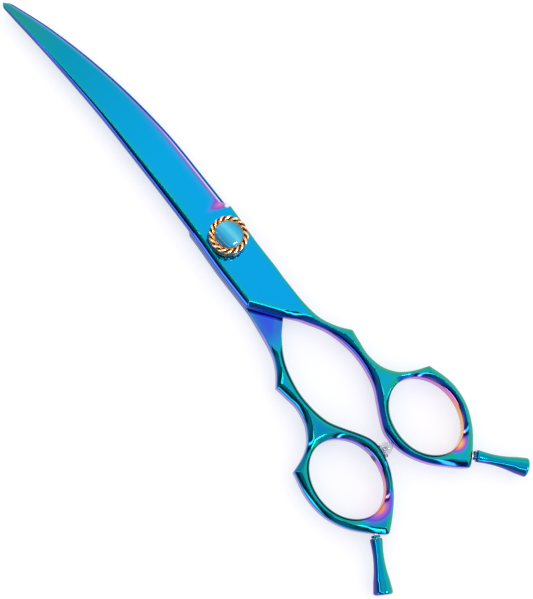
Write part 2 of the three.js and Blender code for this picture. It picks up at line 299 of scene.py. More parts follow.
def surface_normals(points):
    """Unit normals of the upper and of the lower surface at plan points."""
    nudge = 0.01
    distances = facet_distances(points)
    level, in_x, in_y = (heights(points, distances, shift) for shift in ((0, 0), (nudge, 0), (0, nudge)))
    found = []
    for which, outward in ((0, 1), (1, -1)):
        slope_x = (in_x[which] - level[which]) / nudge
        slope_y = (in_y[which] - level[which]) / nudge
        normal = np.column_stack([-slope_x, -slope_y, np.ones(len(slope_x))])
        normal *= outward
        found.append(normal / np.linalg.norm(normal, axis=1)[:, None])
    return found


# ---- mesh of tang, shank and ring
def inside_loop(points, loop):
    inside = np.zeros(len(points), bool)
    x, y = points[:, 0], points[:, 1]
    for (x0, y0), (x1, y1) in zip(loop, np.roll(loop, -1, axis=0)):
        if y0 == y1:
            continue
        crosses = ((y0 > y) != (y1 > y)) & (x < (x1 - x0) * (y - y0) / (y1 - y0) + x0)
        inside ^= crosses
    return inside


def parallel_rows(loop, seam_start):
    """Rows of points parallel to the outline and the finger hole, and their depths."""
    rows, depths = [], []
    for depth in ROW_DEPTHS:
        for line, last in ((loop, seam_start + 1), (HOLE, None)):
            tangent = np.roll(line, -1, axis=0) - np.roll(line, 1, axis=0)
            tangent /= np.linalg.norm(tangent, axis=1)[:, None]
            inward = np.column_stack([tangent[:, 1], -tangent[:, 0]])
            row = (line + inward * depth)[:last]
            rows.append(row)
            depths.append(np.full(len(row), depth))
    return rows, depths


def staggered_grid(lo, hi):
    """Points of a triangular grid, with most of its rows left out in the middle of the tang's flat."""
    rows = []
    y = lo[1]
    odd = False
    while y < hi[1]:
        xs = np.arange(lo[0] + (GRID / 2 if odd else 0), hi[0], GRID)
        rows.append(np.column_stack([xs, np.full(len(xs), y)]))
        y += GRID * GRID_RISE
        odd = not odd
    grid = np.vstack(rows)
    mid_flat = (grid[:, 1] > -16) & (np.abs(grid[:, 0]) < 4.2)
    return grid[~(mid_flat & (np.abs(grid[:, 1] * 2) % 1 > 0.25))]


def plan_mesh():
    """Triangulated plan of the front half below the blade: points and triangles."""
    seam = straight((-TANG_HALF, SEAM_Y), (TANG_HALF, SEAM_Y), GRID)[:-1]
    outline = [line[:-1] for line in RUNS.values()]
    loop = np.vstack(outline + [seam])
    bush = ellipse((0, 0), (BUSH_HOLE, BUSH_HOLE), 96)
    seat_sides = [ellipse((0, 0), (r, r), 120) for r in (RACE_SEAT[0] - SEAT_SIDE, RACE_SEAT[0] + SEAT_SIDE)]
    loops = [loop, HOLE, bush] + seat_sides

    rows, depths = parallel_rows(loop, sum(len(line) for line in outline))
    grid = staggered_grid(loop.min(0), loop.max(0))
    points = np.vstack(rows + [grid])
    reach = ROW_DEPTHS[-1] + 0.5
    edge = np.minimum(run_distance(points, loop, True, reach)[0], run_distance(points, HOLE, True, reach)[0])
    wanted = np.concatenate(depths + [np.full(len(grid), ROW_DEPTHS[-1] + 0.16)])
    clear_of_edge = edge > wanted * 0.93 - 0.005
    clear_of_seat = np.hypot(points[:, 0], points[:, 1]) > RACE_SEAT[0] + 0.2
    points = points[clear_of_edge & clear_of_seat]

    edges = []
    start = 0
    for line in loops:
        count = len(line)
        edges += [(start + i, start + (i + 1) % count) for i in range(count)]
        start += count
    every = [Vector(p) for p in np.vstack(loops + [points])]
    verts, _, faces, _, _, _ = delaunay_2d_cdt(every, edges, [], 0, 1e-6)
    verts = np.array([tuple(v) for v in verts])
    faces = np.array(faces)
    centre = verts[faces].mean(1)
    faces = faces[inside_loop(centre, loop) & ~inside_loop(centre, HOLE) & ~inside_loop(centre, bush)]
    a, b, c = verts[faces[:, 0]], verts[faces[:, 1]], verts[faces[:, 2]]
    area = (b[:, 0] - a[:, 0]) * (c[:, 1] - a[:, 1]) - (b[:, 1] - a[:, 1]) * (c[:, 0] - a[:, 0])
    faces[area < 0] = faces[area < 0][:, ::-1]
    return verts, faces[np.abs(area) > 1e-9]


def rim_walls(plan, faces):
    """Upright walls between the two surfaces, except at the seam: quads and their corner normals."""
    count = len(plan)
    directed = dict.fromkeys(e for a, b, c in faces.tolist() for e in ((a, b), (b, c), (c, a)))
    rim = [(a, b) for a, b in directed if (b, a) not in directed]
    after = dict(rim)
    before = {b: a for a, b in rim}
    same_wall = 0.93  # cosine of the sharpest turn still shaded as one

    def edge_normal(i, j):
        d = plan[j] - plan[i]
        return np.array([d[1], -d[0], 0.0]) / max(1e-9, math.hypot(*d))

    def corner_normal(i, own):
        total = edge_normal(before[i], i) + edge_normal(i, after[i])
        total /= max(1e-9, np.linalg.norm(total))
        return total if total @ own > same_wall else own

    walls, normals = [], []
    for a, b in rim:
        if abs(plan[a][1] - SEAM_Y) < 1e-6 and abs(plan[b][1] - SEAM_Y) < 1e-6:
            continue
        own = edge_normal(a, b)
        walls.append((b, a, count + a, count + b))
        na, nb = corner_normal(a, own), corner_normal(b, own)
        normals += [nb, na, na, nb]
    return walls, np.array(normals)


def rim_share(distance):
    """How strongly the film shifts toward green, from the distance inside a flat's border."""
    return np.exp(-np.maximum(0.0, distance) / 0.45)


NO_STRIP = -1.0  # tag of the vertices that are not on a blade


def handle_mesh():
    """Front half below the seam: vertices, faces, corner normals, (rim, strip, distance) rows."""
    plan, faces = plan_mesh()
    distances = facet_distances(plan)
    upper, lower = heights(plan, distances)
    widths = {"side": opening(plan[:, 1], BEVEL, FACET), "spine": SPINE_FACET}
    inside_flat = [d - widths.get(name, FACET) for name, (d, _) in distances.items()]
    green = rim_share(np.min(inside_flat, axis=0))
    count = len(plan)
    verts = np.vstack([np.column_stack([plan, upper]), np.column_stack([plan, lower])])
    # Each corner's normal is taken a little inside its own face, so that a ridge stays crisp.
    corners = plan[faces]
    probe = (corners * 0.8 + corners.mean(1, keepdims=True) * 0.2).reshape(-1, 2)
    over, under = surface_normals(probe)
    walls, wall_normals = rim_walls(plan, faces)
    top = [tuple(f) for f in faces.tolist()]
    bottom = [(count + c, count + b, count + a) for a, b, c in faces.tolist()]
    normals = np.vstack([over, under.reshape(-1, 3, 3)[:, ::-1].reshape(-1, 3), wall_normals])
    tags = np.column_stack([np.tile(green, 2), np.full(2 * count, NO_STRIP), np.zeros(2 * count)])
    return verts, top + bottom + walls, normals, tags


# ---- blades
OUTER_FACE, LAND, INNER_FACE = 1, 3, 5  # places of these strips in a blade's section


def along_blade(y):
    """0 at the seam, 1 at the tip."""
    return (y - SEAM_Y) / (TIP_Y - SEAM_Y)


def spine_x(y):
    """Plan x of the edge that is the front blade's spine."""
    tang_fade = 0.3 * np.exp(-(np.maximum(y, SEAM_Y) - SEAM_Y) / 9.0)
    bend = 3.0 * np.clip((y - 42) / 55, 0, 1) ** 2
    fuller = 0.14 * smoothstep(50, 70, y) * (1 - smoothstep(88, 97, y))
    return -6.75 - tang_fade - bend - fuller


def outer_x(y):
    """Plan x of the other, strongly curved edge."""
    tang_fade = 0.15 * np.exp(-(np.maximum(y, SEAM_Y) - SEAM_Y) / 3.0)
    bend = 14.1 * np.clip((y - 14) / 83, 0, 2) ** 2.3
    fuller = 0.36 * smoothstep(18, 38, y) * (1 - smoothstep(82, 97, y))
    return 6.9 + tang_fade - bend + fuller


def blade_edges(y, is_front):
    """Plan x of a blade's spine and of its cutting edge, which is ground back behind the other's spine."""
    inset = 1.15 * smoothstep(*GRIND_Y, y) * (1 - 0.45 * along_blade(y))
    if is_front:
        return spine_x(y), outer_x(y) - inset
    return outer_x(y), spine_x(y) + inset


def blade_rows():
    """Stations along the blade, close together at the heel and the tip."""
    heel_end, tip_start = 12, 94
    heel = np.linspace(SEAM_Y, heel_end, 22)[:-1]
    run = np.linspace(heel_end, tip_start, 120)[:-1]
    tip = tip_start + (TIP_Y - tip_start) * np.sin(np.linspace(0, np.pi / 2, 26))
    return np.concatenate([heel, run, tip])


def land_width(along):
    """Width of the honed land at the cutting edge."""
    return 0.3 + 0.15 * (1 - along)


def blade_section(y, is_front):
    """Section at one station as strips of (distance from the spine, height), and the spine facet's width."""
    along = along_blade(y)
    thick = HEEL_THICK - TIP_THINNER * along
    top = GAP + thick
    ground = smoothstep(*GRIND_Y, y)
    spine, edge = blade_edges(y, is_front)
    width = abs(edge - spine)
    facet = SPINE_FACET + (1.6 * (1 - along) ** 0.9 + 0.22 - SPINE_FACET) * smoothstep(SEAM_Y, 13, y)
    facet = min(facet, 0.42 * width)
    wall = GAP + (SPINE_WALL - GAP) * thick / HEEL_THICK
    land = land_width(along)
    relief = 1.15 * (1 - 0.35 * along)
    land_top, edge_height = GAP + 0.62 * thick, GAP + 0.25

    def outer(d):
        level = facet_profile(np.array([d]), facet, wall, top)[0]
        inside = width - d
        unground = facet_profile(np.array([inside]), BEVEL, top - BEVEL_DROP, top)[0]
        if inside > land:
            t = np.clip(1 - (inside - land) / relief, 0, 1)
            honed = top - (top - land_top) * t ** 1.8
        else:
            honed = edge_height + (land_top - edge_height) * inside / land
        return min(level, unground * (1 - ground) + honed * ground)

    def hollow(d):
        return GAP + 1.12 * ground * (1 - along * 0.5) * (d / width) * (1 - d / width)

    flat_end = width - land - relief
    near = [0.0, 0.03, 0.1, 0.2, 0.32] + [facet * t for t in (0.45, 0.6, 0.72, 0.81, 0.88, 0.94, 0.98, 1.0)]
    near += [facet + (flat_end - facet) * t for t in (0.05, 0.11, 0.2, 0.4, 0.7, 1.0)]
    reliefs = [flat_end + relief * t for t in (0.0, 0.3, 0.55, 0.8, 1.0)]
    lands = [width - land * t for t in (1.0, 0.66, 0.4, 0.2, 0.0)]
    honed_strip = [width, width - min(0.5, 0.1 * width), width - min(0.62, 0.12 * width)]
    ride_strip = [min(most, share * width)
                  for most, share in ((1.8, 0.3), (1.6, 0.27), (0.75, 0.22), (0.62, 0.2))]
    inner = honed_strip + [0.8 * width, 0.6 * width, 0.4 * width] + ride_strip + [0.0]
    strips = [[(0.0, GAP), (0.0, outer(0.0))]]
    strips += [[(d, outer(d)) for d in row] for row in (near, reliefs, lands)]
    strips += [[(width, outer(width)), (width, GAP)]]
    strips += [[(d, hollow(d)) for d in inner]]
    return strips, facet


def blade_station(y, is_front):
    """One section in the plan frame, rounded off toward the tip: points, tags and the strips' lengths."""
    strips, facet = blade_section(y, is_front)
    spine, edge = blade_edges(y, is_front)
    toward = 1 if edge > spine else -1
    middle = (spine + edge) / 2
    narrowing = math.sqrt(max(0.02, 1 - max(0.0, (y - 94.9) / 1.95) ** 2))
    drop = 0.35 * max(0.0, (y - 95.4) / 1.4) ** 2
    points, tags = [], []
    for number, strip in enumerate(strips):
        for d, z in strip:
            z = max(GAP, z - drop) if z > GAP + 0.3 else z
            points.append((middle + (spine + toward * d - middle) * narrowing, y, z if is_front else -z))
            tags.append((rim_share(d - facet) if number == OUTER_FACE and is_front else 0.0, number, d))
    return points, tags, [len(strip) for strip in strips]


def blade_mesh(is_front):
    """One blade above the seam: vertices, faces, corner normals, (rim, strip, distance) rows."""
    sections, tags = [], []
    for y in blade_rows():
        points, marks, lengths = blade_station(y, is_front)
        sections.append(points)
        tags += marks
    grid = np.array(sections)
    verts = grid.reshape(-1, 3)
    stations, count = grid.shape[:2]
    starts = np.cumsum([0] + lengths[:-1])
    along = np.gradient(grid, axis=0)
    faces, normals = [], []
    for first, length in zip(starts, lengths):
        strip = slice(first, first + length)
        smooth = np.cross(along[:, strip], np.gradient(grid[:, strip], axis=1))
        smooth /= np.maximum(np.linalg.norm(smooth, axis=2), 1e-12)[..., None]
        for c in range(length - 1):
            for r in range(stations - 1):
                quad = [(r, c), (r, c + 1), (r + 1, c + 1), (r + 1, c)]
                corners = [i * count + first + j for i, j in quad]
                a, b, d = (verts[corners[k]] for k in (0, 1, 3))
                flat = np.cross(b - a, d - a)
                faces.append(tuple(corners))
                normals += [smooth[q] if smooth[q] @ flat >= 0 else -smooth[q] for q in quad]
    last = (stations - 1) * count
    cap = [last + first + j for first, length in zip(starts, lengths) for j in range(length - 1)]
    a, b, d = (verts[cap[k * len(cap) // 3]] for k in (0, 1, 2))
    if np.cross(b - a, d - a)[1] < 0:
        cap = cap[::-1]
    faces.append(tuple(cap))
    normals += [np.array([0.0, 1.0, 0.0])] * len(cap)
    return verts, faces, np.array(normals), np.array(tags)


# ---- the two halves
def joined(parts):
    """Several (vertices, faces, normals, tags) as one."""
    faces = []
    start = 0
    for part in parts:
        faces += [tuple(i + start for i in face) for face in part[1]]
        start += len(part[0])
    verts, normals, tags = (np.vstack([part[k] for part in parts]) for k in (0, 2, 3))
    return verts, faces, normals, tags


def turned_over(part):
    """The other half: mirrored in x and in z, which keeps the winding."""
    verts, faces, normals, tags = part
    flip = np.array([-1.0, 1.0, -1.0])
    return verts * flip, faces, normals * flip, tags


def leaned(part, is_front):
    """Tang, shank and ring drift toward -X; the ring's and the shank's -X sides are a little fuller."""
    verts, faces, normals, tags = part
    x, y = verts[:, 0], verts[:, 1]
    shift = LEAN * smoothstep(8, -8, y) * (0.25 + 0.75 * smoothstep(-74, -58, y))
    ring_x = RING_CENTRE[0] if is_front else -RING_CENTRE[0]
    outward = np.clip((ring_x - x) / 12.6, 0, 1)
    shift += (0.4 if is_front else 0.35) * smoothstep(0.3, 0.8, outward) * smoothstep(-55, -66, y)
    shank = smoothstep(-20, -28, y) * smoothstep(-68, -56, y)
    if is_front:
        outer_side = smoothstep(-14, -20, y) * smoothstep(-40, -32, y) * smoothstep(2, 6, x)
        shift += 0.15 * shank + 0.2 * outer_side
    else:
        # From the shank's inner edge to its outer one, which swells most at the crown.
        inner_edge = np.interp(-y, [19, 32, 39, 46, 52, 58, 66], [0.0, 4.3, 7.9, 9.8, 10.0, 8.9, 5.0])
        across = np.clip((-x - inner_edge) / 3.5, 0, 1)
        crown = np.exp(-((y + 35) / 7.5) ** 2)
        shift += shank * (0.2 + 0.35 * across) + 0.3 * crown * across
        shift -= 0.28 * smoothstep(-57, -62, y) * smoothstep(-80, -66, y) * smoothstep(-9, -3, x)
    moved = verts.copy()
    moved[:, 0] -= shift
    return moved, faces, normals, tags


half = handle_mesh()
front = joined([leaned(half, True), blade_mesh(True)])
rear = joined([leaned(turned_over(half), False), blade_mesh(False)])
front_forging = new_object("front_forging", front[0], front[1], "front_assembly",
                           ("front_half",), front[2])
rear_forging = new_object("rear_forging", rear[0], rear[1], "rear_assembly",
                          ("rear_half",), rear[2])


# ---- turned pieces
def lathe(profile, steps):
    """Revolve (radius, height) points about +Z."""
    verts, faces = [], []
    count = len(profile)
    for i in range(steps):
        turn = 2 * math.pi * i / steps
        verts += [(r * math.cos(turn), r * math.sin(turn), z) for r, z in profile]
        after = (i + 1) % steps
        for j in range(count - 1):
            faces.append((i * count + j, after * count + j, after * count + j + 1, i * count + j + 1))
    return np.array(verts), faces


def turned_object(name, profile, steps, place, body, replaces=(), angle=35):
    """A revolved piece; 'place' takes the lathe's frame to the plan frame, in mm."""
    verts, faces = lathe(profile, steps)
    moved = np.array([tuple(place @ Vector(v)) for v in verts])
    obj = new_object(name, moved, faces, body, replaces)
    bm = bmesh.new()
    bm.from_mesh(obj.data)
    bmesh.ops.remove_doubles(bm, verts=bm.verts, dist=1e-7)
    bmesh.ops.recalc_face_normals(bm, faces=bm.faces)
    bm.to_mesh(obj.data)
    bm.free()
    return sharp_by_angle(obj, angle)


def dome(radius, foot, rise, steps):
    """Profile of a dome from (radius, foot) up to the axis."""
    turns = [i / steps * math.pi / 2 for i in range(steps)]
    return [(radius * math.cos(t), foot + rise * math.sin(t)) for t in turns] + [(0.0, foot + rise)]


def z_span(node):
    """Lower and upper z of a CAD node above the middle plane, in mm."""
    return [(corner[2] - MID) * 1000.0 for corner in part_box(node)]


def half_width(node):
    lo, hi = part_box(node)
    return (hi[0] - lo[0]) * 500.0


# ---- dial
def knurled_nut():
    lo, hi = z_span("tension_nut")
    radius = half_width("tension_nut")
    teeth, per_tooth, tooth_height = 54, 6, 0.13
    bearing_room, bore, floor_z = 5.35, 2.25, lo + 1.3
    # (height, radius, share of the teeth's wave) round the section
    levels = [(lo, bearing_room, 0), (lo, radius - 0.35, 0), (lo + 0.12, radius - 0.16, 0),
              (lo + 0.3, radius - 0.14, 0), (lo + 0.38, radius - 0.28, 0), (lo + 0.5, radius - 0.28, 0),
              (lo + 0.6, radius - 0.12, 1), (hi - 0.3, radius - 0.12, 1), (hi - 0.12, radius - 0.3, 0.4),
              (hi, radius - 0.5, 0), (hi, bore, 0), (floor_z, bore, 0), (floor_z, bearing_room, 0)]
    verts, faces = [], []
    steps, count = teeth * per_tooth, len(levels)
    for i in range(steps):
        turn = 2 * math.pi * i / steps
        wave = tooth_height * math.cos(teeth * turn)
        after = ((i + 1) % steps) * count
        for j, (z, r, share) in enumerate(levels):
            rr = r + share * (wave - 0.02)
            verts.append((rr * math.cos(turn), rr * math.sin(turn), z))
            k = (j + 1) % count
            faces.append((i * count + j, after + j, after + k, i * count + k))
    obj = new_object("knurled_nut", np.array(verts), faces, "tension_dial", ("tension_nut",))
    return sharp_by_angle(obj, 30)


def rope():
    """Two strands laid round each other and closed into a ring."""
    lo, hi = z_span("rope_ring")
    centre_z = (lo + hi) / 2
    tube = (hi - lo) / 2
    ring = half_width("rope_ring") - tube
    strand, offset = tube * 0.58, tube * 0.42
    turns, steps, sides = 8, 660, 16
    verts, faces, painted_groove_shade = [], [], []
    for k in range(2):
        base = len(verts)
        angles = [2 * math.pi * i / steps for i in range(steps)]
        centres = []
        for a in angles:
            lay = turns * a + math.pi * k
            r = ring + offset * math.cos(lay)
            centres.append(Vector((r * math.cos(a), r * math.sin(a), centre_z + offset * math.sin(lay))))
        for i, a in enumerate(angles):
            after = (i + 1) % steps
            forward = (centres[after] - centres[i - 1]).normalized()
            side = forward.cross(Vector((0, 0, 1))).normalized()
            up = side.cross(forward)
            axis = Vector((ring * math.cos(a), ring * math.sin(a), centre_z))
            here, there = base + i * sides, base + after * sides
            for s in range(sides):
                t = 2 * math.pi * s / sides
                spot = centres[i] + strand * (math.cos(t) * side + math.sin(t) * up)
                verts.append(spot)
                painted_groove_shade.append((spot - axis).length / (strand + offset))
                n = (s + 1) % sides
                faces.append((here + s, here + n, there + n, there + s))
    obj = new_object("gold_rope", np.array([tuple(v) for v in verts]), faces, "tension_dial",
                     ("rope_ring",))
    # painted light: 0 on the strands' crowns, a painted highlight, rising to 1 in the grooves between them,
    # painted shade
    point_layer(obj.data, "painted_groove_shade", 1 - smoothstep(0.76, 1.0, np.array(painted_groove_shade)))
    return obj


def dial_piece(name, profile, replaces=(), angle=35):
    return turned_object(name, profile, 96, Matrix.Identity(4), "tension_dial", replaces, angle)


def cabochon():
    lo, hi = z_span("cabochon")
    radius, girdle = half_width("cabochon"), lo + 0.2
    profile = [(0.0, lo), (radius - 0.25, lo), (radius - 0.08, lo + 0.06)]
    profile += dome(radius, girdle, hi - girdle, 24)
    return dial_piece("cats_eye_cabochon", profile, ("cabochon",), 50)


def gem_setting():
    lo, hi = z_span("gem_cup")
    profile = [(0.0, lo), (3.7, lo), (3.9, lo + 0.15), (3.9, hi - 0.1), (3.8, hi), (0.0, hi)]
    return dial_piece("gem_setting", profile, ("gem_cup",))


def gold_bezel():
    """The plain collar between the gem and the rope."""
    lo = z_span("rope_ring")[0]
    inner, outer, foot = 4.12, 4.5, lo - 0.1
    profile = [(inner, foot), (inner, lo + 1.0), (4.17, lo + 1.08), (4.26, lo + 1.1), (4.4, lo + 0.95),
               (outer, lo + 0.6), (outer, foot), (inner, foot)]
    return dial_piece("gold_bezel", profile)


knurled = knurled_nut()
gold_rope = rope()
gem = cabochon()
setting = gem_setting()
bezel = gold_bezel()


# ---- bumper
def along_x(x0, sign=1):
    """Lathe frame to plan frame: +Z of the lathe along +X or -X, starting at x0 on the bumper's axis."""
    return Matrix(((0, 0, sign, x0), (0, 1, 0, BUMPER_Y), (-sign, 0, 0, 0), (0, 0, 0, 1)))


def clear_bumper():
    """A lipped foot, a waist and a domed head, hollow for the stem."""
    lo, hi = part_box("bumper")
    x0, length = lo[0] * 1000, (hi[0] - lo[0]) * 1000 - 0.5
    radius = (hi[2] - lo[2]) * 500
    bore, head = 0.72, 1.9
    profile = [(bore, 0.0), (radius - 0.25, 0.0), (radius - 0.05, 0.12), (radius, 0.3), (radius - 0.06, 0.55),
               (radius - 0.3, 0.78), (radius - 0.42, 1.0), (radius - 0.36, 1.3)]
    profile += dome(radius - 0.3, length - head, head, 12)
    profile += [(0.0, 1.75), (0.45, 1.7), (0.66, 1.5), (bore, 1.2), (bore, 0.0)]
    return turned_object("clear_bumper", profile, 64, along_x(x0), "rear_assembly",
                         ("bumper",), 60)


def bumper_end():
    """The black end of the bumper's stem, flush with the wall of the rear finger hole."""
    wall_x = RING_HOLE[0] - RING_CENTRE[0] - 0.25 * LEAN
    profile = [(0.0, 0.1), (0.75, 0.09), (1.1, 0.02), (1.25, -0.1), (1.25, -0.6), (0.0, -0.6)]
    return turned_object("bumper_tail", profile, 48, along_x(wall_x, -1), "rear_assembly")


bumper = clear_bumper()
bumper_tail = bumper_end()

# ---- finger rests
REST_FOOT = (18.0, -91.0)  # on a ring's foot, where the rest's axis starts
REST_LENGTH = 15.42
NECK_FROM, REST_FROM = 1.1, 1.9  # where neck and rest start along that axis


def rest_place(angle_deg, sign, from_mm):
    """Lathe +Z runs outward along the rest."""
    turn = math.radians(angle_deg)
    direction = Vector((sign * math.sin(turn), -math.cos(turn), 0))
    side = Vector((0, 0, 1)).cross(direction)
    start = Vector((sign * REST_FOOT[0], REST_FOOT[1], 0)) + direction * from_mm
    return Matrix(((side.x, 0, direction.x, start.x), (side.y, 0, direction.y, start.y),
                   (0, 1, 0, 0), (0, 0, 0, 1)))


def rest_profile():
    """A socket for the stud, a waist, a flare and a dished end."""
    profile = [(1.05, 0.3), (1.05, 0.0), (1.45, 0.0), (1.68, 0.1), (1.78, 0.3)]
    steps = 48
    for i in range(1, steps + 1):
        t = i / steps
        waist = 0.35 * math.sin(math.pi * min(1, 1.25 * t))
        profile.append((1.8 - waist + 1.0 * t ** 2.2, 0.3 + (REST_LENGTH - 1.0) * t))
    end = [(2.74, 0.55), (2.62, 0.32), (2.3, 0.12), (1.9, 0.03), (0.42, 0.0), (0.3, 0.2), (0.0, 0.3)]
    return profile + [(r, REST_LENGTH - below) for r, below in end]


NECK_PROFILE = [(1.0, 0.0), (1.2, 0.0), (1.35, 0.12), (1.35, 0.48), (1.2, 0.6), (1.0, 0.6), (1.0, 0.0)]
REST_PARTS = (("flared_rest_", rest_profile(), 72, REST_FROM, "finger_rest_"),
              ("rest_neck_", NECK_PROFILE, 48, NECK_FROM, "rest_collar_"))
rests = []
for side_name, sign, angle in (("front", 1, 40), ("rear", -1, 32)):
    for piece, profile, steps, start, node in REST_PARTS:
        rests.append(turned_object(piece + side_name, profile, steps, rest_place(angle, sign, start),
                                   side_name + "_assembly", (node + side_name,), 40))


# ---- material helpers
def node_material(name, **inputs):
    """A material, its tree and its shader; an underscore in an input's name stands for a space."""
    material = bpy.data.materials.new(name)
    material.use_nodes = True
    tree = material.node_tree
    shader = next(n for n in tree.nodes if n.type == "BSDF_PRINCIPLED")
    for key, value in inputs.items():
        feed(tree, shader.inputs[key.replace("_", " ")], value)
    return material, tree, shader


def feed(tree, socket, value):
    """Set a socket to a number or a colour, or link an output to it."""
    if isinstance(value, tuple):
        socket.default_value = (*value, 1)
    elif isinstance(value, (int, float)):
        socket.default_value = value
    else:
        tree.links.new(value, socket)


def ramp(tree, value, stops, mode="LINEAR"):
    """Colour from (position, colour) stops."""
    node = tree.nodes.new("ShaderNodeValToRGB")
    node.color_ramp.interpolation = mode
    elements = node.color_ramp.elements
    while len(elements) > 1:
        elements.remove(elements[-1])
    elements[0].position = stops[0][0]
    elements[0].color = (*stops[0][1], 1)
    for position, colour in stops[1:]:
        elements.new(position).color = (*colour, 1)
    tree.links.new(value, node.inputs[0])
    return node.outputs[0]


def math_node(tree, operation, *values):
    node = tree.nodes.new("ShaderNodeMath")
    node.operation = operation
    for socket, value in zip(node.inputs, values):
        feed(tree, socket, value)
    return node.outputs[0]


def map_range(tree, value, lo, hi, out_lo=0.0, out_hi=1.0, smooth=True):
    node = tree.nodes.new("ShaderNodeMapRange")
    node.interpolation_type = "SMOOTHSTEP" if smooth else "LINEAR"
    for key, number in (("From Min", lo), ("From Max", hi), ("To Min", out_lo), ("To Max", out_hi)):
        node.inputs[key].default_value = number
    tree.links.new(value, node.inputs["Value"])
    return node.outputs["Result"]


MIX_INPUTS, MIX_RESULT = (0, 6, 7), 2  # places of a mix node's factor and colour sockets


def mix(tree, factor, a, b):
    """Colour a where the factor is 0, b where it is 1."""
    node = tree.nodes.new("ShaderNodeMix")
    node.data_type = "RGBA"
    for place, value in zip(MIX_INPUTS, (factor, a, b)):
        feed(tree, node.inputs[place], value)
    return node.outputs[MIX_RESULT]


def attribute(tree, name):
    node = tree.nodes.new("ShaderNodeAttribute")
    node.attribute_name = name
    return node.outputs["Fac"]


def coordinates(tree, kind):
    """The object's own "Normal" or "Object" coordinates, split into X, Y and Z."""
    split = tree.nodes.new("ShaderNodeSeparateXYZ")
    tree.links.new(tree.nodes.new("ShaderNodeTexCoord").outputs[kind], split.inputs[0])
    return split.outputs


def set_material(obj, material):
    obj.data.materials.clear()
    obj.data.materials.append(material)


# ---- film colours on the steel
AZURE = (0.0, 0.35, 0.76)
GREEN = (0.01, 0.4, 0.26)
VIOLET = (0.22, 0.1, 0.66)
PINK = (0.55, 0.16, 0.55)
GOLD = (0.85, 0.55, 0.25)
ORANGE = (0.85, 0.28, 0.14)
TANG_WALL, BLADE_WALL = (0.01, 0.075, 0.4), (0.0, 0.075, 0.22)
RAMP_BLUE = (0.035, 0.1, 0.72)
INNER_BLUE = (0.0, 0.1, 0.46)
BARE_STEEL = (0.86, 0.86, 0.9)
UP = 0.998  # share of +Z in a normal above which a face counts as level

# Colours by how far a face looks up, on sides that face +X
RIGHT_STOPS = [(0.0, (0.0, 0.3, 0.42)), (0.35, (0.02, 0.34, 0.22)), (0.78, (0.01, 0.36, 0.24)),
               (0.9, (0.0, 0.4, 0.36)), (0.96, (0.0, 0.42, 0.58)), (UP, AZURE)]


def coated_material(name, left_stops, ring_flat, inner_stops, run_out=False):
    """Interference film on polished steel, coloured by the object's own normal and position (metres).

    left_stops: colours by how far a face looks up, where it faces -X. ring_flat: colour of the flats at
    the ring. inner_stops: colours of the film shift. run_out: tint the ramp behind the tang."""
    material, tree, shader = node_material(name, Metallic=1.0, Roughness=0.085, Coat_Weight=0.08,
                                           Coat_Roughness=0.04)
    facing = coordinates(tree, "Normal")
    place = coordinates(tree, "Object")
    up = math_node(tree, "ABSOLUTE", facing["Z"])
    left = ramp(tree, up, left_stops + [(UP, AZURE)])
    right = ramp(tree, up, RIGHT_STOPS)
    base = mix(tree, map_range(tree, facing["X"], -0.05, 0.05), left, right)

    flatness = map_range(tree, up, 0.93, 0.995)
    ring_to_tip = map_range(tree, place["Y"], -0.06, 0.098, smooth=False)
    flats = ramp(tree, ring_to_tip, [(0.0, ring_flat), (0.19, AZURE), (0.57, (0.0, 0.37, 0.74)),
                                     (0.7, (0.0, 0.34, 0.64)), (0.85, (0.0, 0.3, 0.46)),
                                     (1.0, (0.02, 0.28, 0.19))])
    base = mix(tree, flatness, base, flats)

    upright = map_range(tree, up, 0.5, 0.2)
    ahead_of_shank = map_range(tree, place["Y"], -0.034, -0.02)
    wall = mix(tree, map_range(tree, place["Y"], 0.004, 0.02), TANG_WALL, BLADE_WALL)
    base = mix(tree, math_node(tree, "MULTIPLY", upright, ahead_of_shank), base, wall)
    if run_out:
        sloping = math_node(tree, "MULTIPLY", map_range(tree, facing["Y"], 0.015, 0.11),
                            map_range(tree, up, 0.75, 0.93))
        at_ramp = map_range(tree, place["Y"], -0.036, -0.028)
        base = mix(tree, math_node(tree, "MULTIPLY", sloping, at_ramp), base, RAMP_BLUE)

    level_rim = math_node(tree, "MULTIPLY", attribute(tree, "rim"), flatness)
    strength = map_range(tree, place["Y"], -0.03, -0.016, 0.28, 0.65)
    base = mix(tree, math_node(tree, "MULTIPLY", level_rim, strength), base, GREEN)
    base = mix(tree, attribute(tree, "deep"), base, INNER_BLUE)
    film = attribute(tree, "film")
    base = mix(tree, map_range(tree, film, 0.02, 0.25), base, ramp(tree, film, inner_stops))
    base = mix(tree, attribute(tree, "bare"), base, BARE_STEEL)
    tree.links.new(base, shader.inputs["Base Color"])
    return material


# Where on the finger hole's rim the film turns gold: angle, how far round, how far out
PATCH = {True: (-77.0, 14.0, 0.1), False: (-80.0, 25.0, 0.16)}


def hole_film(x, y, is_front):
    """Film shift on the finger hole's wall, and the patch on its rim."""
    side = 1 if is_front else -1
    dx, dy = (x - side * RING_CENTRE[0]) / RING_HOLE[0], (y - RING_CENTRE[1]) / RING_HOLE[1]
    radius = np.hypot(dx, dy)
    on_wall = 1 - smoothstep(1.0, 1.035, radius)
    toward = np.clip(dx * 0.75 - dy * 0.66, -1, 1)
    film = on_wall * (0.35 + 0.3 * toward + 0.3 * smoothstep(-0.2, 1, -dy))
    centre, reach, spread = PATCH[is_front]
    off = (np.degrees(np.arctan2(dy, dx)) - centre + 180) % 360 - 180
    patch = np.exp(-(off / reach) ** 2) * np.exp(-((radius - 1.03) / spread) ** 2)
    return np.maximum(film, patch * (radius > 0.98))


